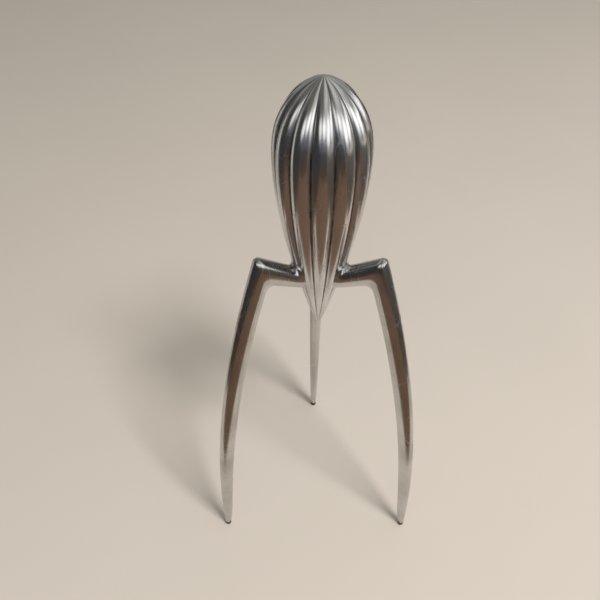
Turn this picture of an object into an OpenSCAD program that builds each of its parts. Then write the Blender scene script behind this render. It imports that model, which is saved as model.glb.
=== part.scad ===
// Tripod citrus juicer: a fluted drop-shaped head on three kneed legs.
// Millimetres, +Z up. The table is z = 0 and the head's axis is the Z axis.
// The rear leg points along +Y, and the other two stand 120 degrees either side of it.

/* [Head] */
// Height of the crown above the table
crown_z = 290; // [270:1:310]
// Height of the widest place on the head
girth_z = 252; // [242:1:260]
// Height of the drip tip above the table
tip_z = 150; // [138:1:160]
// Radius over the ribs at the widest place
girth_r = 21.9; // [19:0.1:25]
// How full the dome is between the girth and the crown
dome_power = 2.6; // [2:0.1:3]
// How pointed the crown is, where 0.5 is a round dome
crown_power = 0.68; // [0.5:0.01:0.8]
// How full the taper is between the girth and the drip tip
taper_power = 1.65; // [1.4:0.05:2.2]
// Number of ribs, a multiple of three so that every leg meets the crest of a rib
rib_count = 12; // [9:3:15]
// Depth of the grooves between the ribs at the widest place
groove_depth = 2.7; // [1.4:0.1:3]

/* [Arms] */
// Height at which the top of an arm leaves the head
arm_top_z = 195.9; // [188:0.1:204]
// Rise of the top of an arm, in degrees
arm_rise = 36; // [30:1:44]
// Rise of the underside of an arm, in degrees
arm_under_rise = 28; // [20:1:32]
// Depth of an arm beside the knee, square to its top
arm_depth = 12.2; // [10:0.1:15]
// Width of an arm at its slimmest
arm_width = 9.4; // [8:0.1:12]
// Extra width of an arm where it flares against the head
root_flare = 2.4; // [0:0.1:4]
// Height of the dressed fillet where the top of an arm meets the head
root_lip = 3.6; // [1:0.1:5]

/* [Legs] */
// Distance of the knee's outer corner from the axis
knee_r = 34.1; // [30:0.1:40]
// Rounding of the knee's outer corner
knee_round = 2.2; // [1:0.1:4]
// Radius of the fillet inside the knee
knee_fillet = 3.6; // [2:0.1:6]
// Greatest distance of a leg's outer edge from the axis
leg_reach = 65.4; // [58:0.1:74]
// Height at which a leg stands furthest out
bow_z = 22; // [10:1:40]
// Depth of a leg just below the knee, square to its outer edge
leg_depth = 11.1; // [10:0.1:14]
// How fast the depth falls off towards the foot
leg_taper = 0.28; // [0.2:0.01:0.4]
// Width of a leg at the knee
leg_width = 9.0; // [7:0.1:11]
// Width of a leg at the foot
ankle_width = 3.2; // [3:0.1:4.5]

/* [Leg pins] */
// Diameter of the dowel at each leg root
pin_d = 4.5; // [3:0.1:5]
// Length of the dowel
pin_length = 18; // [14:0.5:20]
// Part of the dowel's length that lies in the head
pin_in_head = 8; // [6:0.1:9]
// Chamfer at the ends of the dowel
pin_chamfer = 0.4; // [0.2:0.1:0.8]

/* [Foot tips] */
// Height of a foot tip under the metal
foot_height = 2.4; // [1.5:0.1:4]
// Diameter of the flat that stands on the table
foot_flat_d = 2.6; // [1.6:0.1:3]
// Diameter of a foot tip where it meets the leg
foot_d = 3.4; // [3:0.1:4]
// Height of the bevel above the flat
foot_bevel = 1; // [0.4:0.1:1.4]
// Diameter of the stem in the leg's end
stem_d = 1.9; // [1.4:0.1:2.2]
// Length of the stem in the leg's end
stem_length = 7; // [4:0.5:10]

/* [Fits] */
// Diametral clearance of dowels and stems in their holes
hole_clearance = 0.05; // [0.02:0.01:0.1]
// Room left at the bottom of each blind hole
hole_end_room = 0.5; // [0.2:0.1:1]
// Gap between a leg root and the head
root_gap = 0.08; // [0.04:0.01:0.2]

/* [Hidden] */

rear_turn = 90;
left_turn = 210;
right_turn = 330;

aluminium = "#b9bcc0";
steel = "#8d9299";
plastic = "#2b2b2d";

// Steps of the lofted forms
rib_steps = 8;
dome_steps = 11;
taper_steps = 20;
leg_sides = 20;
arm_steps = 5;
lip_steps = 4;
knee_steps = 7;
shank_steps = 16;

rib_angle = 360 / rib_count;

// Head profile: a slightly pointed dome over the girth, a power curve below it
function crest_r(z) = z >= girth_z
    ? girth_r * pow(max(0, 1 - pow((z - girth_z) / (crown_z - girth_z), dome_power)), crown_power)
    : girth_r * (1 - pow((girth_z - z) / (girth_z - tip_z), taper_power));

// Rib section at the girth: an arc over the crest, from one groove to the next
groove_r = girth_r - groove_depth;
rib_half = groove_r * sin(rib_angle / 2);
rib_rise = girth_r - groove_r * cos(rib_angle / 2);
rib_round = (rib_half * rib_half + rib_rise * rib_rise) / (2 * rib_rise);
rib_middle = girth_r - rib_round;

// Angle from the nearest crest. A crest lies at each leg's bearing and midway between two legs.
function from_crest(turn) =
    let (part = (turn - rear_turn) / rib_angle + 0.5)
    (part - floor(part) - 0.5) * rib_angle;

// Share of the crest's radius at an angle from that crest
function rib_share(angle) =
    (rib_middle * cos(angle) + sqrt(rib_round * rib_round - pow(rib_middle * sin(angle), 2))) / girth_r;

function head_r(turn, z) = crest_r(z) * rib_share(from_crest(turn));

// Height between the levels of the taper
head_step = (girth_z - tip_z) / taper_steps;

// Levels of the head from just above the drip tip to just below the crown
head_levels = concat(
    [for (i = [1 : taper_steps - 1]) tip_z + head_step * i],
    [for (i = [0 : dome_steps - 1]) girth_z + (crown_z - girth_z) * sin(90 * i / dome_steps)]
);

// Leg outline in its own plane: x is the distance from the axis, y is the height.
// The outer edge of the shank is an arc through the knee's corner, upright at bow_z.
arm_top_r = crest_r(arm_top_z);
knee = [knee_r, arm_top_z + (knee_r - arm_top_r) * tan(arm_rise)];
bow_drop = knee.y - bow_z;
bow_out = leg_reach - knee.x;
bow_radius = (bow_drop * bow_drop + bow_out * bow_out) / (2 * bow_out);
knee_lean = asin(bow_drop / bow_radius);

function outer_r(z) = leg_reach - bow_radius + sqrt(bow_radius * bow_radius - pow(z - bow_z, 2));

// Point a given depth below a line that rises at `rise` and inside one that leans at `lean`
function inside_corner(corner, rise, lean, below, inside) = corner + [
    below * sin(lean) - inside * cos(rise),
    -below * cos(lean) - inside * sin(rise)
] / cos(rise - lean);

crook = inside_corner(knee, arm_rise, knee_lean, arm_depth, leg_depth);
crook_thickness = outer_r(crook.y) - crook.x;

function inner_r(z) = outer_r(z) - crook_thickness * pow(max(z, 0) / crook.y, leg_taper);

crook_lean = atan(inner_r(crook.y - 0.5) - inner_r(crook.y + 0.5));
knee_centre = inside_corner(knee, arm_rise, knee_lean, knee_round, knee_round);
crook_centre = inside_corner(crook, arm_under_rise, crook_lean, knee_fillet, knee_fillet);

function turned(angle, length) = length * [cos(angle), sin(angle)];
function between(a, b, t) = a + (b - a) * t;
function underside_z(r) = crook.y - (crook.x - r) * tan(arm_under_rise);

// Top of the arm: buried end, dressed lip, straight run to the knee.
// The root seat trims the buried end back to the face of the head.
buried_share = 0.5;
buried_top_r = arm_top_r * buried_share;
buried_under_r = crest_r(underside_z(arm_top_r)) * buried_share;
lip_corner = [arm_top_r, arm_top_z];
lip_top = [crest_r(arm_top_z + root_lip), arm_top_z + root_lip];
lip_end = lip_corner + turned(arm_rise, root_lip);
knee_start = knee_centre + turned(90 + arm_rise, knee_round);
crook_start = crook_centre + turned(90 + arm_under_rise, knee_fillet);
function lip_point(t) = between(between(lip_top, lip_corner, t), between(lip_corner, lip_end, t), t);

outer_arm = concat(
    [[buried_top_r, lip_top.y]],
    [for (i = [0 : lip_steps]) lip_point(i / lip_steps)],
    [for (i = [1 : arm_steps - 1]) between(lip_end, knee_start, i / arm_steps)]
);
under_start = [buried_under_r, underside_z(buried_under_r)];
inner_arm = [for (i = [0 : len(outer_arm) - 1]) between(under_start, crook_start, i / len(outer_arm))];

// Knee: the two edges turn together, tightly outside and gently inside
function knee_turn(first, last, i) = first + (last - first) * i / knee_steps;
outer_knee = [for (i = [0 : knee_steps])
    knee_centre + turned(knee_turn(90 + arm_rise, knee_lean, i), knee_round)];
inner_knee = [for (i = [0 : knee_steps])
    crook_centre + turned(knee_turn(90 + arm_under_rise, crook_lean, i), knee_fillet)];

// Shank: rings are mitred at the knee and level out quickly on the way down
shank_top_z = outer_knee[knee_steps].y;
crook_end_z = inner_knee[knee_steps].y;
mitre_fade = 5;
function shank_z(from, t) = foot_height + (from - foot_height) * (1 - t);
function outer_z(t) = shank_z(crook_end_z, t) + (shank_top_z - crook_end_z) * pow(1 - t, mitre_fade);
outer_shank = [for (i = [1 : shank_steps]) let (z = outer_z(i / shank_steps)) [outer_r(z), z]];
inner_shank = [for (i = [1 : shank_steps]) let (z = shank_z(crook_end_z, i / shank_steps)) [inner_r(z), z]];

outer_edge = concat(outer_arm, outer_knee, outer_shank);
inner_edge = concat(inner_arm, inner_knee, inner_shank);

// Width of each ring across the leg's plane
arm_widths = [for (i = [0 : len(outer_arm) - 1])
    arm_width + root_flare * pow(1 - i / len(outer_arm), 3)];
knee_widths = [for (i = [0 : knee_steps]) between(arm_width, leg_width, i / knee_steps)];
width_fade = 0.6;
shank_widths = [for (p = inner_shank) ankle_width
    + (leg_width - ankle_width) * pow(max(0, p.y - foot_height) / (crook_end_z - foot_height), width_fade)];
ring_widths = concat(arm_widths, knee_widths, shank_widths);

// One ring of the leg: an egg with its broad end on the outer edge
egg = 0.14;
function leg_ring(i) =
    let (
        middle = (outer_edge[i] + inner_edge[i]) / 2,
        reach = (outer_edge[i] - inner_edge[i]) / 2
    )
    [for (k = [0 : leg_sides - 1])
        let (
            a = 360 * k / leg_sides,
            p = middle + reach * cos(a)
        )
        [p.x, ring_widths[i] / 2 * sin(a) * (1 + egg * cos(a)), p.y]];

// Dowel: on the middle line of the arm, through the middle of the root
root_r = (arm_top_r + crest_r(underside_z(arm_top_r))) / 2;
root_z = (arm_top_z + underside_z(root_r)) / 2;
pin_rise = (arm_rise + arm_under_rise) / 2;
// Turn of a bore about its own line, so that no corner of it falls on a crest
bore_turn = 40;

// Foot: under the middle of the leg's end
foot_r = (outer_r(foot_height) + inner_r(foot_height)) / 2;

// Solid from rings of equal length: triangles between them and a fan on each end
module loft(rings) {
    n = len(rings[0]);
    last = len(rings) - 1;
    points = [for (ring = rings) each ring];
    sides = [for (j = [0 : last - 1], k = [0 : n - 1])
        let (
            a = j * n + k,
            b = j * n + (k + 1) % n
        )
        each [[a, b + n, b], [a, a + n, b + n]]];
    start = [for (k = [1 : n - 2]) [0, k, k + 1]];
    end = [for (k = [1 : n - 2]) [last * n, last * n + k + 1, last * n + k]];
    polyhedron(points = points, faces = concat(sides, start, end));
}

module at_leg(turn) {
    rotate([0, 0, turn]) children();
}

// Cylinder along a leg's dowel line, from one place to another, measured outwards from the root
module on_pin_line(d, from, to) {
    translate([root_r, 0, root_z]) rotate([0, 90 - pin_rise, 0]) translate([0, 0, from])
        rotate([0, 0, bore_turn]) cylinder(d = d, h = to - from, $fn = 48);
}

module pin_hole(to) {
    on_pin_line(pin_d + hole_clearance, -pin_in_head - hole_end_room, to);
}

// The whole fluted drop, with a point at the crown and one at the drip tip
module fluted_drop() {
    sides = rib_count * rib_steps;
    count = len(head_levels);
    ring_points = [for (z = head_levels, k = [0 : sides - 1])
        let (
            turn = rear_turn + k * rib_angle / rib_steps,
            r = head_r(turn, z)
        )
        [r * cos(turn), r * sin(turn), z]];
    tip = count * sides;
    crown = tip + 1;
    walls = [for (j = [0 : count - 2], k = [0 : sides - 1])
        let (
            a = j * sides + k,
            b = j * sides + (k + 1) % sides
        )
        each [[a, b + sides, b], [a, a + sides, b + sides]]];
    bottom = [for (k = [0 : sides - 1]) [tip, k, (k + 1) % sides]];
    top = [for (k = [0 : sides - 1])
        [crown, (count - 1) * sides + (k + 1) % sides, (count - 1) * sides + k]];
    polyhedron(
        points = concat(ring_points, [[0, 0, tip_z], [0, 0, crown_z]]),
        faces = concat(walls, bottom, top)
    );
}

// The part of the head behind one leg root, grown by the root gap, with the head's own facets
module root_seat() {
    half_turn = 48;
    steps = ceil(half_turn / rib_angle * rib_steps);
    below = underside_z(0) - head_step;
    above = arm_top_z + root_lip + head_step;
    levels = [for (z = head_levels) if (z > below && z < above) z];
    rings = [for (z = levels) concat(
        [[-1, 0, z]],
        [for (k = [-steps : steps])
            let (
                turn = k * rib_angle / rib_steps,
                r = head_r(rear_turn + turn, z) + root_gap
            )
            [r * cos(turn), r * sin(turn), z]]
    )];
    loft(rings);
}

module head() {
    color(aluminium) difference() {
        fluted_drop();
        for (turn = [left_turn, right_turn, rear_turn])
            at_leg(turn) pin_hole(pin_length);
    }
}

module leg(turn) {
    color(aluminium) at_leg(turn) difference() {
        loft([for (i = [0 : len(outer_edge) - 1]) leg_ring(i)]);
        root_seat();
        pin_hole(pin_length - pin_in_head + hole_end_room);
        translate([foot_r, 0, 0])
            cylinder(d = stem_d + hole_clearance, h = foot_height + stem_length + hole_end_room, $fn = 32);
    }
}

module leg_pin(turn) {
    length = pin_length - 2 * pin_chamfer;
    tip_d = pin_d - 2 * pin_chamfer;
    color(steel) at_leg(turn) translate([root_r, 0, root_z]) rotate([0, 90 - pin_rise, 0])
        translate([0, 0, -pin_in_head]) {
            cylinder(d1 = tip_d, d2 = pin_d, h = pin_chamfer, $fn = 48);
            translate([0, 0, pin_chamfer]) cylinder(d = pin_d, h = length, $fn = 48);
            translate([0, 0, pin_chamfer + length])
                cylinder(d1 = pin_d, d2 = tip_d, h = pin_chamfer, $fn = 48);
        }
}

module foot(turn) {
    color(plastic) at_leg(turn) translate([foot_r, 0, 0]) rotate_extrude($fn = 48)
        polygon([
            [0, 0],
            [foot_flat_d / 2, 0],
            [foot_d / 2, foot_bevel],
            [foot_d / 2, foot_height],
            [stem_d / 2, foot_height],
            [stem_d / 2, foot_height + stem_length],
            [0, foot_height + stem_length]
        ]);
}

head();
leg(left_turn);  // left_leg
leg(right_turn);  // right_leg
leg(rear_turn);  // rear_leg
leg_pin(left_turn);  // left_leg_pin
leg_pin(right_turn);  // right_leg_pin
leg_pin(rear_turn);  // rear_leg_pin
foot(left_turn);  // left_foot
foot(right_turn);  // right_foot
foot(rear_turn);  // rear_foot
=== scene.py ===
# %% [markdown]
# # A tripod citrus juicer in polished aluminium
# The object is a fluted, drop-shaped head carried by three kneed legs. Nothing on it moves: half a fruit is
# pressed and turned on the head, and the juice runs down the grooves to the drip tip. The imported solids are
# loaded first, because they fix every size and place, and the dressed pieces are then modelled over them.

# %% Load the frame
import math

import bpy
from mathutils import Matrix, Vector


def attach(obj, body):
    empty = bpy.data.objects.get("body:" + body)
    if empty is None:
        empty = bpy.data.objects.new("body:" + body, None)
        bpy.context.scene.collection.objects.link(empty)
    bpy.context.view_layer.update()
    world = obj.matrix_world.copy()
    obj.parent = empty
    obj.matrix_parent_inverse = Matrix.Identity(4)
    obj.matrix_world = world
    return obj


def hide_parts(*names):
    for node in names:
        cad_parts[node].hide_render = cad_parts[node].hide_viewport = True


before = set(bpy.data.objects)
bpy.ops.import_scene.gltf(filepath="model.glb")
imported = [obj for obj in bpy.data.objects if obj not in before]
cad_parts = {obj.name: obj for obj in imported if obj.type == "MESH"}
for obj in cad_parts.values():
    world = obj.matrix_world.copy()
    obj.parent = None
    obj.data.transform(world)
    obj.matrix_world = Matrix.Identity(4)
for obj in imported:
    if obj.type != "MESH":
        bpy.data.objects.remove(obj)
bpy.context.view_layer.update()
MM = 0.001
print("nodes:", sorted(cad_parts))

# %% [markdown]
# ## Camera
# The picture was taken from close by and well above, so the legs lean in towards the feet and the crown looks
# large. A long lens far away would lose that. The camera therefore stands where the view was taken from,
# 0.42 m above the table, and looks down at 44 degrees.

# %% Camera
CAMERA_PLACE = (-0.0081, -0.2639, 0.4230)
CAMERA_TILT_DOWN = 44.06
CAMERA_TURN = 0.29
CAMERA_LENS = 43.2
SENSOR_WIDTH = 36.0

camera_data = bpy.data.cameras.new("view_camera")
camera_data.lens = CAMERA_LENS
camera_data.sensor_width = SENSOR_WIDTH
camera = bpy.data.objects.new("view_camera", camera_data)
camera.location = CAMERA_PLACE
camera.rotation_euler = (math.radians(90 - CAMERA_TILT_DOWN), 0, math.radians(CAMERA_TURN))
bpy.context.scene.collection.objects.link(camera)
bpy.context.scene.camera = camera
print("camera at", CAMERA_PLACE, "lens", CAMERA_LENS)

# %% [markdown]
# ## Working by hand in edit mode
# Every operator acts on what is selected, so a piece starts from an empty selection, and rings of points are
# picked by their place. These few helpers do what the select keys do at the keyboard.

# %% Selection helpers
def object_mode():
    if bpy.context.object and bpy.context.object.mode != "OBJECT":
        bpy.ops.object.mode_set(mode="OBJECT")


def start_fresh():
    object_mode()
    bpy.ops.object.select_all(action="DESELECT")


def edit_points():
    bpy.ops.object.mode_set(mode="EDIT")
    bpy.ops.mesh.select_mode(type="VERT")


def pick_points(piece, wanted):
    """Leaves edit mode on, with only the points selected for which wanted(place) is true."""
    edit_points()
    bpy.ops.mesh.select_all(action="DESELECT")
    bpy.ops.object.mode_set(mode="OBJECT")
    for point in piece.data.vertices:
        point.select = wanted(point.co)
    edit_points()


def only(piece):
    start_fresh()
    piece.select_set(True)
    bpy.context.view_layer.objects.active = piece


def tell(piece):
    triangles = sum(len(face.vertices) - 2 for face in piece.data.polygons)
    print(piece.name, len(piece.data.vertices), "points,", triangles, "triangles")


print("selection helpers ready")

# %% [markdown]
# ## Section of the head
# The head is cast with twelve round ribs that meet in narrow grooves. All its sections have the same outline
# and differ only in size, so one outline is drawn at the widest place and pulled up and down from there. One
# point is swept round the middle of a rib, then round the middle of a groove, and the pair is repeated.

# %% Rib and groove radii
RIB_COUNT = 12
GIRTH_RADIUS = 21.9 * MM
GROOVE_DEPTH = 2.7 * MM
GROOVE_ROUND = 0.3 * MM
CROWN_Z = 290 * MM
GIRTH_Z = 252 * MM
TIP_Z = 150 * MM
HALF_RIB = math.pi / RIB_COUNT

groove_radius = GIRTH_RADIUS - GROOVE_DEPTH
half_chord = groove_radius * math.sin(HALF_RIB)
rise = GIRTH_RADIUS - groove_radius * math.cos(HALF_RIB)
rib_round = (half_chord ** 2 + rise ** 2) / (2 * rise)
rib_middle = GIRTH_RADIUS - rib_round

# The groove's small round touches both ribs, so its middle is this far from a rib's middle
reach = rib_round + GROOVE_ROUND
towards_groove = rib_middle * math.cos(HALF_RIB)
beside_groove = rib_middle * math.sin(HALF_RIB)
groove_middle = towards_groove + math.sqrt(reach ** 2 - beside_groove ** 2)
print("rib round", round(rib_round / MM, 2), "mm, groove bottom at",
      round((groove_middle - GROOVE_ROUND) / MM, 2), "mm")

# %% One rib and one groove, swept from a point
RIB_STEPS = 20
GROOVE_STEPS = 6
SAME_PLACE = 0.001 * MM
SEAM_MERGE = 0.002 * MM

rib_centre = Vector((0, -rib_middle, GIRTH_Z))
groove_centre = Vector((groove_middle * math.sin(HALF_RIB),
                        -groove_middle * math.cos(HALF_RIB), GIRTH_Z))
touch = rib_centre + (groove_centre - rib_centre) * (rib_round / reach)
rib_half_turn = math.atan2(touch.x, rib_centre.y - touch.y)
groove_turn = 2 * (rib_half_turn - HALF_RIB)
rib_start = Vector((-touch.x, touch.y, GIRTH_Z))

start_fresh()
bpy.ops.mesh.primitive_plane_add(size=MM, location=rib_start)
head = bpy.context.object
head.name = "fluted_head"
bpy.ops.object.transform_apply(location=True)
edit_points()
bpy.ops.mesh.select_all(action="SELECT")
bpy.ops.mesh.merge(type="CENTER")
bpy.ops.mesh.spin(steps=RIB_STEPS, angle=-2 * rib_half_turn, center=rib_centre, axis=(0, 0, 1))
pick_points(head, lambda place: (place - touch).length < SAME_PLACE)
bpy.ops.mesh.spin(steps=GROOVE_STEPS, angle=groove_turn, center=groove_centre, axis=(0, 0, 1))
bpy.ops.mesh.select_all(action="SELECT")
bpy.ops.mesh.spin(steps=RIB_COUNT, angle=2 * math.pi, dupli=True,
                  center=(0, 0, GIRTH_Z), axis=(0, 0, 1))
bpy.ops.mesh.select_all(action="SELECT")
bpy.ops.mesh.remove_doubles(threshold=SEAM_MERGE)
object_mode()
print("section of", len(head.data.vertices), "points and", len(head.data.edges), "edges")

# %% [markdown]
# ## The drop
# From the widest place the outline is extruded ring by ring and drawn in towards the axis: upwards to a dome
# with a slight point, downwards along a fuller curve to the sharp drip tip. The last ring of each run is
# merged to one point. A spin of one profile would be shorter, but it would lose the ribs.

# %% Profile of the head
DOME_POWER = 2.6
CROWN_POWER = 0.68
TAPER_POWER = 1.65
DOME_LEVELS = 40
TAPER_LEVELS = 64
QUARTER = math.pi / 2


def crest_radius(z):
    if z >= GIRTH_Z:
        up = min(1, (z - GIRTH_Z) / (CROWN_Z - GIRTH_Z))
        return GIRTH_RADIUS * (1 - up ** DOME_POWER) ** CROWN_POWER
    down = (GIRTH_Z - z) / (GIRTH_Z - TIP_Z)
    return GIRTH_RADIUS * (1 - down ** TAPER_POWER)


dome_heights = [GIRTH_Z + (CROWN_Z - GIRTH_Z) * math.sin(QUARTER * step / DOME_LEVELS)
                for step in range(1, DOME_LEVELS)]
taper_heights = [GIRTH_Z - (GIRTH_Z - TIP_Z) * math.sin(QUARTER * step / TAPER_LEVELS)
                 for step in range(1, TAPER_LEVELS)]
print("crown ring radius", round(crest_radius(dome_heights[-1]) / MM, 3), "mm, tip ring radius",
      round(crest_radius(taper_heights[-1]) / MM, 3), "mm")

# %% Draw the outline up to the crown and down to the tip
def draw_run(heights, end_z):
    z = GIRTH_Z
    radius = GIRTH_RADIUS
    for next_z in heights:
        bpy.ops.mesh.extrude_region_move(TRANSFORM_OT_translate={"value": (0, 0, next_z - z)})
        scale = crest_radius(next_z) / radius
        bpy.ops.transform.resize(value=(scale, scale, 1), center_override=(0, 0, next_z))
        z = next_z
        radius = crest_radius(next_z)
    bpy.ops.mesh.extrude_region_move(TRANSFORM_OT_translate={"value": (0, 0, end_z - z)})
    bpy.ops.mesh.merge(type="CENTER")


only(head)
for heights, end_z in ((dome_heights, CROWN_Z), (taper_heights, TIP_Z)):
    pick_points(head, lambda place: abs(place.z - GIRTH_Z) < SAME_PLACE)
    draw_run(heights, end_z)
bpy.ops.mesh.select_all(action="SELECT")
bpy.ops.mesh.normals_make_consistent(inside=False)
object_mode()
bpy.ops.object.shade_smooth()
tell(head)

# %% [markdown]
# ## Outline of a leg
# A leg leaves the head as a short rising arm, turns down at a crisp knee and runs in one long bow to a narrow
# foot. It is planned flat first, in the leg's own plane, as two edges: the outer one over the arm and down the
# bow, and the inner one under the arm and down the inside. Each pair of points will carry one ring.

# %% Leg sizes
ARM_TOP_Z = 195.9 * MM
ARM_RISE = math.radians(36)
ARM_UNDER_RISE = math.radians(28)
ARM_DEPTH = 12.2 * MM
ARM_WIDTH = 9.4 * MM
ROOT_FLARE = 2.4 * MM
ROOT_LIP = 3.6 * MM
KNEE_RADIUS = 34.1 * MM
KNEE_ROUND = 2.2 * MM
KNEE_FILLET = 3.6 * MM
LEG_REACH = 65.4 * MM
BOW_Z = 22 * MM
LEG_DEPTH = 11.1 * MM
LEG_TAPER = 0.28
LEG_WIDTH = 9.0 * MM
ANKLE_WIDTH = 3.2 * MM
FOOT_HEIGHT = 2.4 * MM
BURIED_SHARE = 0.5
EGG = 0.14

arm_top_radius = crest_radius(ARM_TOP_Z)
knee = Vector((KNEE_RADIUS, ARM_TOP_Z + (KNEE_RADIUS - arm_top_radius) * math.tan(ARM_RISE)))
bow_drop = knee.y - BOW_Z
bow_out = LEG_REACH - knee.x
bow_radius = (bow_drop ** 2 + bow_out ** 2) / (2 * bow_out)
knee_lean = math.asin(bow_drop / bow_radius)


def outer_radius(z):
    return LEG_REACH - bow_radius + math.sqrt(bow_radius ** 2 - (z - BOW_Z) ** 2)


def inside_corner(corner, arm_angle, lean, below, inside):
    """The point a given depth below a rising line and inside a leaning one."""
    step = Vector((below * math.sin(lean) - inside * math.cos(arm_angle),
                   -below * math.cos(lean) - inside * math.sin(arm_angle)))
    return corner + step / math.cos(arm_angle - lean)


crook = inside_corner(knee, ARM_RISE, knee_lean, ARM_DEPTH, LEG_DEPTH)
crook_thickness = outer_radius(crook.y) - crook.x


def inner_radius(z):
    return outer_radius(z) - crook_thickness * (max(z, 0) / crook.y) ** LEG_TAPER


slope_step = 0.5 * MM
lean_out = inner_radius(crook.y - slope_step) - inner_radius(crook.y + slope_step)
crook_lean = math.atan(lean_out / (2 * slope_step))
knee_centre = inside_corner(knee, ARM_RISE, knee_lean, KNEE_ROUND, KNEE_ROUND)
crook_centre = inside_corner(crook, ARM_UNDER_RISE, crook_lean, KNEE_FILLET, KNEE_FILLET)
print("knee corner", [round(v / MM, 1) for v in knee], "crook", [round(v / MM, 1) for v in crook])

# %% Outer and inner edge, pair by pair
LIP_STEPS = 8
ARM_STEPS = 7
KNEE_STEPS = 12
SHANK_STEPS = 34
MITRE_FADE = 5
WIDTH_FADE = 0.6
FLARE_FADE = 3


def turned(angle, length):
    return Vector((math.cos(angle), math.sin(angle))) * length


def under_z(radius):
    return crook.y - (crook.x - radius) * math.tan(ARM_UNDER_RISE)


lip_corner = Vector((arm_top_radius, ARM_TOP_Z))
lip_top = Vector((crest_radius(ARM_TOP_Z + ROOT_LIP), ARM_TOP_Z + ROOT_LIP))
lip_end = lip_corner + turned(ARM_RISE, ROOT_LIP)
knee_start = knee_centre + turned(QUARTER + ARM_RISE, KNEE_ROUND)
crook_start = crook_centre + turned(QUARTER + ARM_UNDER_RISE, KNEE_FILLET)


def lip_point(share):
    return lip_top.lerp(lip_corner, share).lerp(lip_corner.lerp(lip_end, share), share)


outer_edge = [Vector((arm_top_radius * BURIED_SHARE, lip_top.y))]
outer_edge += [lip_point(step / LIP_STEPS) for step in range(LIP_STEPS + 1)]
outer_edge += [lip_end.lerp(knee_start, step / ARM_STEPS) for step in range(1, ARM_STEPS)]
arm_count = len(outer_edge)
buried_under = crest_radius(under_z(arm_top_radius)) * BURIED_SHARE
under_start = Vector((buried_under, under_z(buried_under)))
inner_edge = [under_start.lerp(crook_start, step / arm_count) for step in range(arm_count)]
widths = [ARM_WIDTH + ROOT_FLARE * (1 - step / arm_count) ** FLARE_FADE for step in range(arm_count)]

for step in range(KNEE_STEPS + 1):
    share = step / KNEE_STEPS
    outer_turn = QUARTER + ARM_RISE + (knee_lean - QUARTER - ARM_RISE) * share
    inner_turn = QUARTER + ARM_UNDER_RISE + (crook_lean - QUARTER - ARM_UNDER_RISE) * share
    outer_edge.append(knee_centre + turned(outer_turn, KNEE_ROUND))
    inner_edge.append(crook_centre + turned(inner_turn, KNEE_FILLET))
    widths.append(ARM_WIDTH + (LEG_WIDTH - ARM_WIDTH) * share)

shank_top = outer_edge[-1].y
crook_end = inner_edge[-1].y
for step in range(1, SHANK_STEPS + 1):
    to_go = 1 - step / SHANK_STEPS
    inner_z = FOOT_HEIGHT + (crook_end - FOOT_HEIGHT) * to_go
    outer_z = inner_z + (shank_top - crook_end) * to_go ** MITRE_FADE
    outer_edge.append(Vector((outer_radius(outer_z), outer_z)))
    inner_edge.append(Vector((inner_radius(inner_z), inner_z)))
    widths.append(ANKLE_WIDTH + (LEG_WIDTH - ANKLE_WIDTH) * to_go ** WIDTH_FADE)
print(len(widths), "rings planned")

# %% [markdown]
# ## Modelling one leg
# The first ring is a circle pressed into an egg with its broad end outside. It is then extruded along the plan,
# and each new ring is moved, turned and resized to span its pair of points. A bevelled curve would be quicker,
# but its section could not change from a flared root to a mitred knee and a slim ankle.

# %% First ring of the leg
RING_POINTS = 24
SAME_ROW = 0.01 * MM
# Subdivision draws a ring in a little, so rings start this much larger
RING_GROWTH = 3 / (2 + math.cos(2 * math.pi / RING_POINTS))


def ring_place(i):
    middle = (outer_edge[i] + inner_edge[i]) / 2
    span = outer_edge[i] - inner_edge[i]
    tilt = math.atan2(span.y, span.x)
    half_depth = span.length / 2 * RING_GROWTH
    half_width = widths[i] / 2 * RING_GROWTH
    return Vector((middle.x, 0, middle.y)), tilt, half_depth, half_width


start_fresh()
centre, tilt, half_depth, half_width = ring_place(0)
bpy.ops.mesh.primitive_circle_add(vertices=RING_POINTS, radius=half_depth)
leg_form = bpy.context.object
leg_form.name = "leg_form"
for step in range(1, RING_POINTS // 2):
    lean = math.cos(2 * math.pi * step / RING_POINTS)
    pick_points(leg_form, lambda place: abs(place.x - half_depth * lean) < SAME_ROW)
    squeeze = half_width / half_depth * (1 + EGG * lean)
    bpy.ops.transform.resize(value=(1, squeeze, 1), center_override=(0, 0, 0))
bpy.ops.mesh.select_all(action="SELECT")
bpy.ops.transform.rotate(value=tilt, orient_axis="Y", center_override=(0, 0, 0))
bpy.ops.transform.translate(value=centre)
object_mode()
print("first ring in mm:", [round(side / MM, 1) for side in leg_form.dimensions])

# %% Extrude the ring along the arm, round the knee and down to the foot
def ring_axes(angle):
    along_depth = Vector((math.cos(angle), 0, math.sin(angle)))
    across = Vector((0, 1, 0))
    return Matrix((along_depth, across, along_depth.cross(across))).transposed()


pick_points(leg_form, lambda place: True)
bpy.ops.mesh.edge_face_add()
for i in range(1, len(widths)):
    next_centre, next_tilt, next_depth, next_width = ring_place(i)
    bpy.ops.mesh.extrude_region_move(TRANSFORM_OT_translate={"value": next_centre - centre})
    bpy.ops.transform.rotate(value=next_tilt - tilt, orient_axis="Y", center_override=next_centre)
    bpy.ops.transform.resize(
        value=(next_depth / half_depth, next_width / half_width, 1), orient_type="GLOBAL",
        orient_matrix=ring_axes(next_tilt), orient_matrix_type="GLOBAL", center_override=next_centre)
    centre, tilt, half_depth, half_width = next_centre, next_tilt, next_depth, next_width
object_mode()
tell(leg_form)

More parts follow.
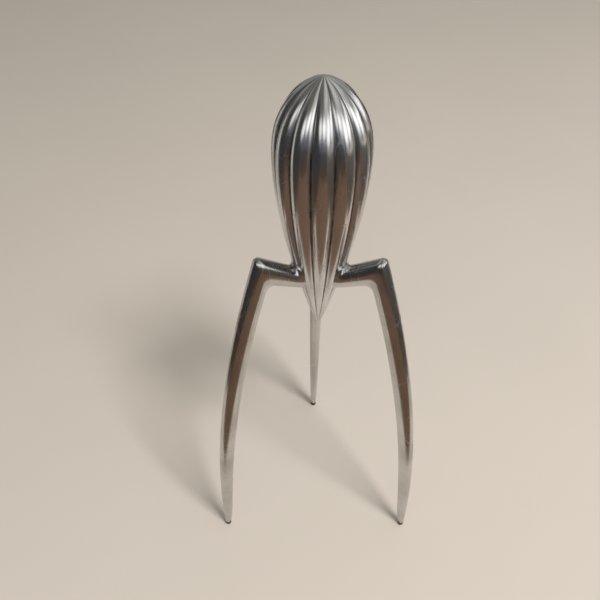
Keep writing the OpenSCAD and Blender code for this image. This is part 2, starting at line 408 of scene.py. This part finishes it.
# %% [markdown]
# ## Finishing the leg
# The end over the foot tip keeps a small rounded edge: the end face is inset, so that the subdivision turns
# tightly there. The form is then copied to its three bearings, and the root of each copy is cut to the face
# of the head, as a fettler fits a casting. A cut leaves points that nearly touch and faces with many corners,
# so the first are merged and the second split into triangles.

# %% Round the end and smooth the leg
END_INSET = 0.25 * MM
SMOOTH_LEVEL = 1

only(leg_form)
edit_points()
bpy.ops.mesh.select_mode(type="FACE")
bpy.ops.mesh.inset(thickness=END_INSET)
bpy.ops.mesh.inset(thickness=END_INSET)
bpy.ops.mesh.select_all(action="SELECT")
bpy.ops.mesh.normals_make_consistent(inside=False)
object_mode()
smooth = leg_form.modifiers.new("smooth", "SUBSURF")
smooth.levels = SMOOTH_LEVEL
smooth.render_levels = SMOOTH_LEVEL
bpy.ops.object.modifier_apply(modifier=smooth.name)
tell(leg_form)

# %% Copy the leg to its bearings and fit each root to the head
LEG_BEARINGS = {"left": 210, "right": 330, "rear": 90}
CUT_MERGE = 0.01 * MM
FLAT_ENOUGH = math.radians(38)


def cut_root(leg):
    seat = leg.modifiers.new("seat", "BOOLEAN")
    seat.operation = "DIFFERENCE"
    seat.solver = "EXACT"
    seat.object = head
    bpy.ops.object.modifier_apply(modifier=seat.name)
    pick_points(leg, lambda place: True)
    bpy.ops.mesh.remove_doubles(threshold=CUT_MERGE)
    bpy.ops.mesh.select_face_by_sides(number=4, type="GREATER", extend=False)
    bpy.ops.mesh.quads_convert_to_tris(ngon_method="BEAUTY")
    object_mode()


legs = {}
for side, bearing in LEG_BEARINGS.items():
    only(leg_form)
    bpy.ops.object.duplicate(linked=False)
    leg = bpy.context.object
    leg.name = side + "_kneed_leg"
    leg.rotation_euler.z = math.radians(bearing)
    bpy.ops.object.transform_apply(location=False, rotation=True, scale=False)
    cut_root(leg)
    bpy.ops.object.shade_smooth_by_angle(angle=FLAT_ENOUGH)
    legs[side] = leg
    tell(leg)
bpy.data.objects.remove(leg_form)

# %% [markdown]
# ## Shared finish effects
# Polished cast aluminium is not a perfect mirror. It carries fine polishing lines, hairline scratches from use,
# a soft haze where hands and juice have dulled it, and a few open pits from the casting. Each effect is a node
# group that puts out one mask, so that both metal finishes can use it with their own values.

# %% Node helpers
def add_node(tree, kind, **settings):
    node = tree.nodes.new(kind)
    for name, value in settings.items():
        setattr(node, name, value)
    return node


def start_group(name, inputs, output):
    group = bpy.data.node_groups.new(name, "ShaderNodeTree")
    group.interface.new_socket(name="Place", in_out="INPUT", socket_type="NodeSocketVector")
    for label, value in inputs.items():
        socket = group.interface.new_socket(name=label, in_out="INPUT", socket_type="NodeSocketFloat")
        socket.default_value = value
    group.interface.new_socket(name=output, in_out="OUTPUT", socket_type="NodeSocketFloat")
    return group, add_node(group, "NodeGroupInput"), add_node(group, "NodeGroupOutput")


def math_node(tree, operation, first, second=None):
    node = add_node(tree, "ShaderNodeMath", operation=operation)
    for socket, value in zip(node.inputs, (first, second)):
        if value is None:
            continue
        if isinstance(value, (int, float)):
            socket.default_value = value
        else:
            tree.links.new(value, socket)
    return node.outputs[0]


def stretch(tree, vector, scale, turn=(0, 0, 0)):
    node = add_node(tree, "ShaderNodeMapping")
    node.inputs["Scale"].default_value = scale
    node.inputs["Rotation"].default_value = turn
    tree.links.new(vector, node.inputs["Vector"])
    return node.outputs["Vector"]


def noise(tree, vector, scale, detail=2.0, roughness=0.5):
    node = add_node(tree, "ShaderNodeTexNoise")
    node.inputs["Detail"].default_value = detail
    node.inputs["Roughness"].default_value = roughness
    tree.links.new(vector, node.inputs["Vector"])
    if isinstance(scale, (int, float)):
        node.inputs["Scale"].default_value = scale
    else:
        tree.links.new(scale, node.inputs["Scale"])
    return node.outputs["Fac"]


def ramp(tree, value, low, high):
    """0 at low and 1 at high, with a soft start and end."""
    node = add_node(tree, "ShaderNodeMapRange", interpolation_type="SMOOTHSTEP")
    node.inputs["From Min"].default_value = low
    node.inputs["From Max"].default_value = high
    tree.links.new(value, node.inputs["Value"])
    return node.outputs["Result"]


print("node helpers ready")

# %% Polishing lines, scratches, haze and pits
LINE_STRETCH = (1, 1, 0.02)
SCRATCH_STRETCH = (1, 0.6, 0.25)
SCRATCH_TURNS = ((0.5, 0.35, 0.2), (-0.7, 0.2, 1.1), (0.15, -0.5, 2.0))
PATCH_STRETCH = (1, 1, 2)


def polishing_lines():
    group, given, result = start_group("polishing_lines", {"Scale": 900.0}, "Lines")
    drawn = stretch(group, given.outputs["Place"], LINE_STRETCH)
    grain = noise(group, drawn, given.outputs["Scale"], detail=3.0, roughness=0.6)
    group.links.new(ramp(group, grain, 0.35, 0.65), result.inputs["Lines"])
    return group


def hairline_scratches():
    """Thin lines where a smooth noise crosses its middle value, so they show on a face of any slope."""
    scales = {"Scale": 75.0, "Patch scale": 130.0}
    group, given, result = start_group("hairline_scratches", scales, "Scratches")
    total = None
    for turn in SCRATCH_TURNS:
        drawn = stretch(group, given.outputs["Place"], SCRATCH_STRETCH, turn)
        level = noise(group, drawn, given.outputs["Scale"], detail=0.0)
        offset = math_node(group, "ABSOLUTE", math_node(group, "SUBTRACT", level, 0.5))
        lines = ramp(group, offset, 0.007, 0.002)
        patches = noise(group, stretch(group, drawn, PATCH_STRETCH), given.outputs["Patch scale"])
        lines = math_node(group, "MULTIPLY", lines, ramp(group, patches, 0.5, 0.6))
        total = lines if total is None else math_node(group, "MAXIMUM", total, lines)
    group.links.new(total, result.inputs["Scratches"])
    return group


def handling_haze():
    group, given, result = start_group("handling_haze", {"Scale": 38.0}, "Haze")
    broad = noise(group, given.outputs["Place"], given.outputs["Scale"], detail=4.0, roughness=0.55)
    group.links.new(ramp(group, broad, 0.36, 0.68), result.inputs["Haze"])
    return group


def casting_pits():
    group, given, result = start_group("casting_pits", {"Scale": 420.0, "Share": 0.06}, "Pits")
    cells = add_node(group, "ShaderNodeTexVoronoi", feature="F1")
    group.links.new(given.outputs["Place"], cells.inputs["Vector"])
    group.links.new(given.outputs["Scale"], cells.inputs["Scale"])
    parts = add_node(group, "ShaderNodeSeparateColor")
    group.links.new(cells.outputs["Color"], parts.inputs["Color"])
    chosen = math_node(group, "LESS_THAN", parts.outputs["Red"], given.outputs["Share"])
    core = math_node(group, "SUBTRACT", 1.0, ramp(group, cells.outputs["Distance"], 0.06, 0.16))
    group.links.new(math_node(group, "MULTIPLY", core, chosen), result.inputs["Pits"])
    return group


EFFECTS = {"Lines": polishing_lines(), "Scratches": hairline_scratches(),
           "Haze": handling_haze(), "Pits": casting_pits()}
print("effects:", [group.name for group in EFFECTS.values()])

# %% [markdown]
# ## Polished aluminium
# The metal itself is a smooth, slightly grey mirror. Haze makes it a little duller and less shiny in patches,
# scratches and pits catch the light, and the lines give highlights a soft edge along the ribs. The head has a
# finish of its own, whose groove bottoms are coloured darker. The legs' finish is painted darker than the
# head's, as painted shade.

# %% Build the metal finishes
def place_effect(tree, name, vector, **values):
    node = add_node(tree, "ShaderNodeGroup")
    node.node_tree = EFFECTS[name]
    tree.links.new(vector, node.inputs["Place"])
    for label, value in values.items():
        node.inputs[label.replace("_", " ")].default_value = value
    return node.outputs[name]


def blend_colour(tree, mask, first, second):
    node = add_node(tree, "ShaderNodeMix", data_type="RGBA")
    tree.links.new(mask, node.inputs["Factor"])
    for socket, value in ((node.inputs[6], first), (node.inputs[7], second)):
        if isinstance(value, tuple):
            socket.default_value = (*value, 1)
        else:
            tree.links.new(value, socket)
    return node.outputs[2]


def weigh(tree, start, parts):
    """A starting value plus each mask times its weight."""
    total = None
    for mask, weight in parts:
        share = math_node(tree, "MULTIPLY", mask, weight)
        total = math_node(tree, "ADD", share, start if total is None else total)
    return total


def groove_mask(tree, vector):
    """1 in the bottom of each groove of the head, 0 on the ribs."""
    split = add_node(tree, "ShaderNodeSeparateXYZ")
    tree.links.new(vector, split.inputs[0])
    bearing = math_node(tree, "ARCTAN2", split.outputs["X"], split.outputs["Y"])
    ribs = math_node(tree, "MULTIPLY", bearing, RIB_COUNT / (2 * math.pi))
    from_crest = math_node(tree, "FRACT", ribs)
    from_groove = math_node(tree, "ABSOLUTE", math_node(tree, "SUBTRACT", from_crest, 0.5))
    return ramp(tree, from_groove, GROOVE_DARK_EDGE, GROOVE_DARK_CORE)


HEAD_CLEAN = (0.74, 0.735, 0.73)
HEAD_DULL = (0.60, 0.585, 0.57)
# The legs' aluminium is painted darker than the head's: painted shade
LEG_SHADED_CLEAN = (0.62, 0.61, 0.60)
LEG_SHADED_DULL = (0.50, 0.485, 0.47)
# Colour of the bottoms of the head's grooves, which are coloured darker than the ribs
GROOVE_DARK = (0.09, 0.08, 0.07)
PIT_FLOOR = (0.16, 0.12, 0.10)
HEAD_POLISH = 0.17
LEG_POLISH = 0.15
# Distance from the groove's bottom in widths of a rib
GROOVE_DARK_EDGE = 0.08
GROOVE_DARK_CORE = 0.005
GROOVE_DARK_SCALE = 140.0
METAL_RELIEF = 0.2 * MM
METAL_RELIEF_STRENGTH = 0.07


def metal_finish(name, clean, dull, polish, grooved):
    material = bpy.data.materials.new(name)
    material.use_nodes = True
    tree = material.node_tree
    shader = tree.nodes["Principled BSDF"]
    shader.inputs["Metallic"].default_value = 1.0
    place = add_node(tree, "ShaderNodeTexCoord").outputs["Object"]
    lines = place_effect(tree, "Lines", place)
    scratches = place_effect(tree, "Scratches", place)
    haze = place_effect(tree, "Haze", place)
    pits = place_effect(tree, "Pits", place)
    colour = blend_colour(tree, haze, clean, dull)
    colour = blend_colour(tree, pits, colour, PIT_FLOOR)
    rough = [(haze, 0.07), (scratches, 0.12), (pits, 0.3), (lines, 0.03)]
    if grooved:
        # The bottoms of the grooves are coloured dark, more in some places than in others
        groove_dark_noise = ramp(tree, noise(tree, place, GROOVE_DARK_SCALE, detail=3.0), 0.25, 0.65)
        thickness = weigh(tree, 0.5, [(groove_dark_noise, 0.45)])
        grooves = math_node(tree, "MULTIPLY", groove_mask(tree, place), thickness)
        colour = blend_colour(tree, grooves, colour, GROOVE_DARK)
        rough.append((grooves, 0.25))
    tree.links.new(colour, shader.inputs["Base Color"])
    tree.links.new(weigh(tree, polish, rough), shader.inputs["Roughness"])
    relief = add_node(tree, "ShaderNodeBump")
    relief.inputs["Strength"].default_value = METAL_RELIEF_STRENGTH
    relief.inputs["Distance"].default_value = METAL_RELIEF
    height = weigh(tree, 0.0, [(lines, 0.12), (scratches, -0.2), (pits, -1.0)])
    tree.links.new(height, relief.inputs["Height"])
    tree.links.new(relief.outputs["Normal"], shader.inputs["Normal"])
    return material


head_metal = metal_finish("polished_fluted_aluminium", HEAD_CLEAN, HEAD_DULL, HEAD_POLISH, True)
# The legs get the darker aluminium, as painted shade
shaded_leg_metal = metal_finish("polished_leg_aluminium_painted_shade", LEG_SHADED_CLEAN, LEG_SHADED_DULL, LEG_POLISH, False)
for piece, finish in [(head, head_metal)] + [(leg, shaded_leg_metal) for leg in legs.values()]:
    piece.data.materials.clear()
    piece.data.materials.append(finish)
print("metal finishes:", head_metal.name, shaded_leg_metal.name)

# %% [markdown]
# ## Foot tips and dowels
# The small foot tips are soft black plastic, scuffed grey where they slide on a table. The dowels are plain
# ground steel and cannot be seen once the legs are on. Their solids already have the right shape, so they stay
# as they are and only get finishes.

# %% Finish the foot tips and the dowels
FOOT_BLACK = (0.022, 0.022, 0.024)
FOOT_SCUFF = (0.075, 0.072, 0.07)
FOOT_RELIEF = 0.1 * MM
FOOT_RELIEF_STRENGTH = 0.2
STEEL_BRIGHT = (0.50, 0.50, 0.51)
STEEL_GROUND = (0.40, 0.40, 0.41)


def plastic_finish():
    material = bpy.data.materials.new("scuffed_foot_plastic")
    material.use_nodes = True
    tree = material.node_tree
    shader = tree.nodes["Principled BSDF"]
    place = add_node(tree, "ShaderNodeTexCoord").outputs["Object"]
    scuffs = ramp(tree, noise(tree, place, 900.0, detail=4.0), 0.5, 0.72)
    tree.links.new(blend_colour(tree, scuffs, FOOT_BLACK, FOOT_SCUFF), shader.inputs["Base Color"])
    tree.links.new(weigh(tree, 0.42, [(scuffs, 0.3)]), shader.inputs["Roughness"])
    relief = add_node(tree, "ShaderNodeBump")
    relief.inputs["Strength"].default_value = FOOT_RELIEF_STRENGTH
    relief.inputs["Distance"].default_value = FOOT_RELIEF
    tree.links.new(scuffs, relief.inputs["Height"])
    tree.links.new(relief.outputs["Normal"], shader.inputs["Normal"])
    return material


def dowel_finish():
    material = bpy.data.materials.new("ground_dowel_steel")
    material.use_nodes = True
    tree = material.node_tree
    shader = tree.nodes["Principled BSDF"]
    shader.inputs["Metallic"].default_value = 1.0
    place = add_node(tree, "ShaderNodeTexCoord").outputs["Object"]
    grinding = place_effect(tree, "Lines", place, Scale=1500.0)
    tree.links.new(blend_colour(tree, grinding, STEEL_BRIGHT, STEEL_GROUND), shader.inputs["Base Color"])
    tree.links.new(weigh(tree, 0.24, [(grinding, 0.12)]), shader.inputs["Roughness"])
    return material


foot_plastic = plastic_finish()
dowel_steel = dowel_finish()
for side in LEG_BEARINGS:
    for node_name, finish in ((side + "_foot", foot_plastic), (side + "_leg_pin", dowel_steel)):
        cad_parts[node_name].material_slots[0].material = finish
print("foot tips and dowels finished")

# %% [markdown]
# ## Joining the pieces to the frame
# The whole juicer is one rigid body, so every piece rides on it. Each modelled piece stands for the solid of
# the same name, which is hidden.

# %% Ride and replace
for piece, node_name in [(head, "head")] + [(leg, side + "_leg") for side, leg in legs.items()]:
    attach(piece, "root")
    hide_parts(node_name)

# %% [markdown]
# ## Floor
# The juicer stands on a plain warm pale floor, which carries its shadow. A flat colour would do, but a faint
# mottle keeps so large a surface from looking like paint on a screen. The floor is stage, not part of the
# object.

# %% Floor
FLOOR_SIZE = 8.0
FLOOR_PALE = (0.63, 0.56, 0.485)
FLOOR_SHADE = (0.615, 0.546, 0.472)
FLOOR_ROUGHNESS = 0.85

start_fresh()
bpy.ops.mesh.primitive_plane_add(size=FLOOR_SIZE, location=(0, 0, 0))
floor = bpy.context.object
floor.name = "floor"
floor_finish = bpy.data.materials.new("pale_floor")
floor_finish.use_nodes = True
floor_tree = floor_finish.node_tree
floor_shader = floor_tree.nodes["Principled BSDF"]
floor_place = add_node(floor_tree, "ShaderNodeTexCoord").outputs["Object"]
mottle = ramp(floor_tree, noise(floor_tree, floor_place, 6.0, detail=5.0), 0.3, 0.7)
floor_colour = blend_colour(floor_tree, mottle, FLOOR_PALE, FLOOR_SHADE)
floor_tree.links.new(floor_colour, floor_shader.inputs["Base Color"])
floor_shader.inputs["Roughness"].default_value = FLOOR_ROUGHNESS
floor.data.materials.append(floor_finish)
print("floor", FLOOR_SIZE, "m square")

# %% [markdown]
# ## Cards for the reflections
# Polished metal shows its surroundings, so they are part of the look. A full room could be built round the
# juicer, but a few cards give the same reflections and are easy to adjust, as in a photographer's studio. They
# stand just outside the picture: brown to grey in front, nearly black on the left, dull on the right, and along
# both edges of the picture a pale card and then a dark one, which draw the thin lines beside the grooves. The
# camera is kept from seeing them, because a view from another side would have them in it.

# %% Cards that only the metal sees
FRONT_LOW = (0.15, 0.090, 0.058)
FRONT_HIGH = (0.10, 0.110, 0.130)
LEFT_LOW = (0.06, 0.045, 0.034)
LEFT_HIGH = (0.030, 0.034, 0.042)
RIGHT_LOW = (0.20, 0.165, 0.140)
RIGHT_HIGH = (0.24, 0.24, 0.245)
PALE_LOW = (0.50, 0.49, 0.48)
PALE_HIGH = (0.70, 0.70, 0.69)
FADE_HEIGHT = 0.20
CARD_ROUGHNESS = 0.95


def card_finish(name, low_colour, high_colour):
    material = bpy.data.materials.new(name)
    material.use_nodes = True
    tree = material.node_tree
    shader = tree.nodes["Principled BSDF"]
    split = add_node(tree, "ShaderNodeSeparateXYZ")
    tree.links.new(add_node(tree, "ShaderNodeTexCoord").outputs["Object"], split.inputs[0])
    height = ramp(tree, split.outputs["Z"], 0.0, FADE_HEIGHT)
    tree.links.new(blend_colour(tree, height, low_colour, high_colour), shader.inputs["Base Color"])
    shader.inputs["Roughness"].default_value = CARD_ROUGHNESS
    return material


def set_card(name, place, width, height, turn, finish):
    start_fresh()
    bpy.ops.mesh.primitive_plane_add(size=1, location=place)
    card = bpy.context.object
    card.name = name
    card.scale = (width, height, 1)
    card.rotation_euler = turn
    bpy.ops.object.transform_apply(location=True, rotation=True, scale=True)
    card.data.materials.append(finish)
    card.visible_camera = False
    card.visible_diffuse = False
    card.visible_shadow = False


front_felt = card_finish("front_card_felt", FRONT_LOW, FRONT_HIGH)
left_felt = card_finish("left_card_felt", LEFT_LOW, LEFT_HIGH)
right_felt = card_finish("right_card_felt", RIGHT_LOW, RIGHT_HIGH)
pale_paper = card_finish("pale_card_paper", PALE_LOW, PALE_HIGH)

UPRIGHT = (QUARTER, 0, 0)
SIDEWAYS = (QUARTER, 0, QUARTER)
FLAT = (0, 0, 0)
# The edges of the picture spread over the floor at this angle
PICTURE_EDGE_TURN = math.radians(73.3)

set_card("front_card", (0, -0.42, 0.12), 0.50, 0.24, UPRIGHT, front_felt)
set_card("front_mat", (0, -0.255, 0.0005), 0.50, 0.33, FLAT, front_felt)
set_card("left_card", (-0.225, -0.20, 0.13), 0.44, 0.26, SIDEWAYS, left_felt)
set_card("right_card", (0.235, -0.185, 0.105), 0.47, 0.21, SIDEWAYS, right_felt)
for side, sign in (("left", -1), ("right", 1)):
    along_edge = (QUARTER, 0, PICTURE_EDGE_TURN * sign)
    set_card(side + "_near_back_card", (0.27 * sign, 0.135, 0.155), 0.18, 0.31, along_edge, pale_paper)
    set_card(side + "_far_back_card", (0.38 * sign, 0.51, 0.18), 0.60, 0.36, along_edge, left_felt)
print("cards: six dark, two pale")

# %% [markdown]
# ## Lamps and room
# Five lamps stand from front left round to the right, a little above the head, and draw the white streaks on
# its ribs. A plain square lamp leaves streaks with hard ends, so each lamp here fades towards its edge. One
# more lamp lights the floor and is kept out of the reflections. The room behind the lamps is dim on the left
# and paler on the right, and so is its ceiling, so that each rib has a dark side and a light side right up to
# the crown.

# %% Lamps
HEAD_MIDDLE = Vector((0, 0, 0.24))
LAMP_DISTANCE = 1.3


def place_lamp(name, place, aim, size, power):
    data = bpy.data.lights.new(name, "AREA")
    data.size = size
    data.energy = power
    lamp = bpy.data.objects.new(name, data)
    lamp.location = place
    lamp.rotation_euler = (Vector(aim) - Vector(place)).to_track_quat("-Z", "Y").to_euler()
    lamp.visible_camera = False
    bpy.context.scene.collection.objects.link(lamp)
    return lamp


def soft_lamp(name, bearing, rise, edge, core, glow):
    """A lamp that the head sees right of the front and above level by these degrees, and that fades
    from its core to its edge, both in degrees from its middle."""
    bearing, rise = math.radians(bearing), math.radians(rise)
    level = math.cos(rise)
    way = Vector((math.sin(bearing) * level, -math.cos(bearing) * level, math.sin(rise)))
    half = LAMP_DISTANCE * math.tan(math.radians(edge))
    power = glow * math.pi * (2 * half) ** 2
    lamp = place_lamp(name, HEAD_MIDDLE + LAMP_DISTANCE * way, HEAD_MIDDLE, 2 * half, power)
    lamp.data.use_nodes = True
    tree = lamp.data.node_tree
    away = add_node(tree, "ShaderNodeVectorMath", operation="DISTANCE")
    away.inputs[1].default_value = (0.5, 0.5, 0)
    tree.links.new(add_node(tree, "ShaderNodeNewGeometry").outputs["Parametric"], away.inputs[0])
    fade = ramp(tree, away.outputs["Value"], 0.5, 0.5 * core / edge)
    tree.links.new(fade, tree.nodes["Emission"].inputs["Strength"])


soft_lamp("left_lamp", bearing=-36, rise=24, edge=20, core=6, glow=1.1)
soft_lamp("middle_lamp", bearing=4, rise=29, edge=22, core=4, glow=1.5)
soft_lamp("right_lamp", bearing=46, rise=20, edge=27, core=7, glow=1.4)
soft_lamp("near_side_lamp", bearing=84, rise=11, edge=20, core=8, glow=1.25)
soft_lamp("far_side_lamp", bearing=110, rise=10, edge=20, core=8, glow=1.1)
floor_lamp = place_lamp("floor_lamp", place=(0.6, -0.7, 1.6), aim=(0, 0.3, 0), size=0.45, power=24)
floor_lamp.visible_glossy = False
print("lamps:", [light.name for light in bpy.data.lights])

# %% Room
ROOM_LOW = (0.11, 0.12, 0.14)
ROOM_GREY = (0.26, 0.262, 0.26)
ROOM_LEFT = (0.045, 0.046, 0.044)
ROOM_RIGHT = (0.26, 0.27, 0.285)
ROOM_BACK = (0.30, 0.305, 0.305)
CEILING_DULL = (0.15, 0.145, 0.125)
CEILING_PALE = (0.62, 0.615, 0.59)

world = bpy.data.worlds.new("studio_room")
bpy.context.scene.world = world
world.use_nodes = True
room = world.node_tree
split = add_node(room, "ShaderNodeSeparateXYZ")
room.links.new(add_node(room, "ShaderNodeTexCoord").outputs["Generated"], split.inputs[0])
across, along, up = split.outputs
view = blend_colour(room, ramp(room, up, 0.05, 0.55), ROOM_LOW, ROOM_GREY)
view = blend_colour(room, ramp(room, across, -0.35, -0.75), view, ROOM_LEFT)
view = blend_colour(room, ramp(room, across, 0.45, 0.95), view, ROOM_RIGHT)
view = blend_colour(room, ramp(room, along, -0.15, 0.75), view, ROOM_BACK)
ceiling = blend_colour(room, ramp(room, across, -0.2, 0.3), CEILING_DULL, CEILING_PALE)
view = blend_colour(room, ramp(room, up, 0.5, 0.85), view, ceiling)
room.links.new(view, room.nodes["Background"].inputs["Color"])
bpy.context.scene.view_settings.view_transform = "Standard"
print("world:", world.name)
